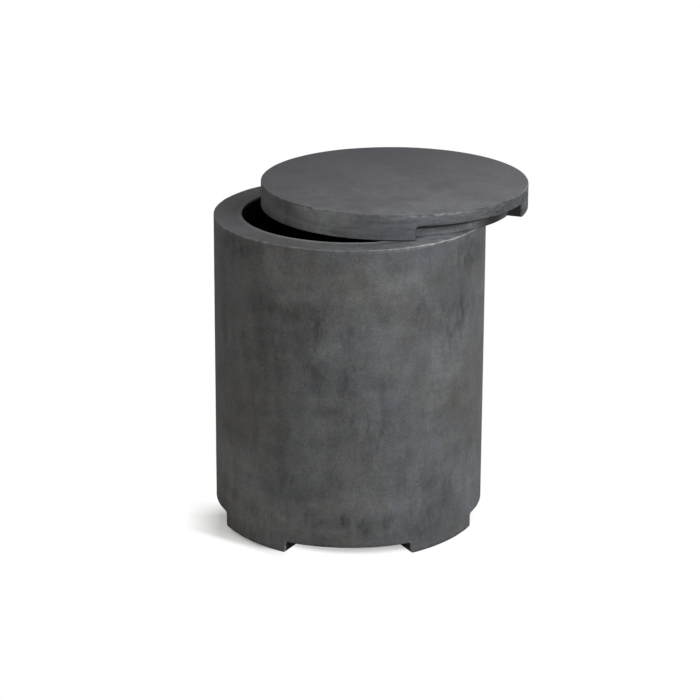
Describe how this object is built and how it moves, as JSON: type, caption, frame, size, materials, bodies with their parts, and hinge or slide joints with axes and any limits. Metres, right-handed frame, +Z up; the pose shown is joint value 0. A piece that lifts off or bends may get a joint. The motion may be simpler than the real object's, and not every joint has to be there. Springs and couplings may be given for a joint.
{
  "type": "propane tank cover table",
  "caption": "Round hollow concrete cover that stands over a gas bottle, with a loose round lid that slides or lifts off its rim and serves as a side table.",
  "frame": {"origin": "on the floor, at the middle of the space that the shell and the shifted lid take up; the shell's axis is at x -0.0364, y -0.0239", "axes": "+Z up, -Y the front, towards the viewer of the picture, +X to the viewer's right; the lid is shifted towards +X and +Y"},
  "size_m": [0.5298, 0.5047, 0.5773],
  "materials": {
    "cast_concrete": "matte",
    "moulded_rubber": "matte"
  },
  "bodies": {
    "shell": {"shell": "cast_concrete", "foot_glide_1": "moulded_rubber", "foot_glide_2": "moulded_rubber", "foot_glide_3": "moulded_rubber", "foot_glide_4": "moulded_rubber"},
    "lid": {"lid": "cast_concrete", "lid_bumper_1": "moulded_rubber", "lid_bumper_2": "moulded_rubber", "lid_bumper_3": "moulded_rubber", "lid_bumper_4": "moulded_rubber"}
  },
  "joints": [
    {"name": "lid_slide", "type": "slide", "parent": "shell", "child": "lid", "axis": [0.832, 0.5548, 0], "range_m": [-0.0905, 0.04]}
  ]
}
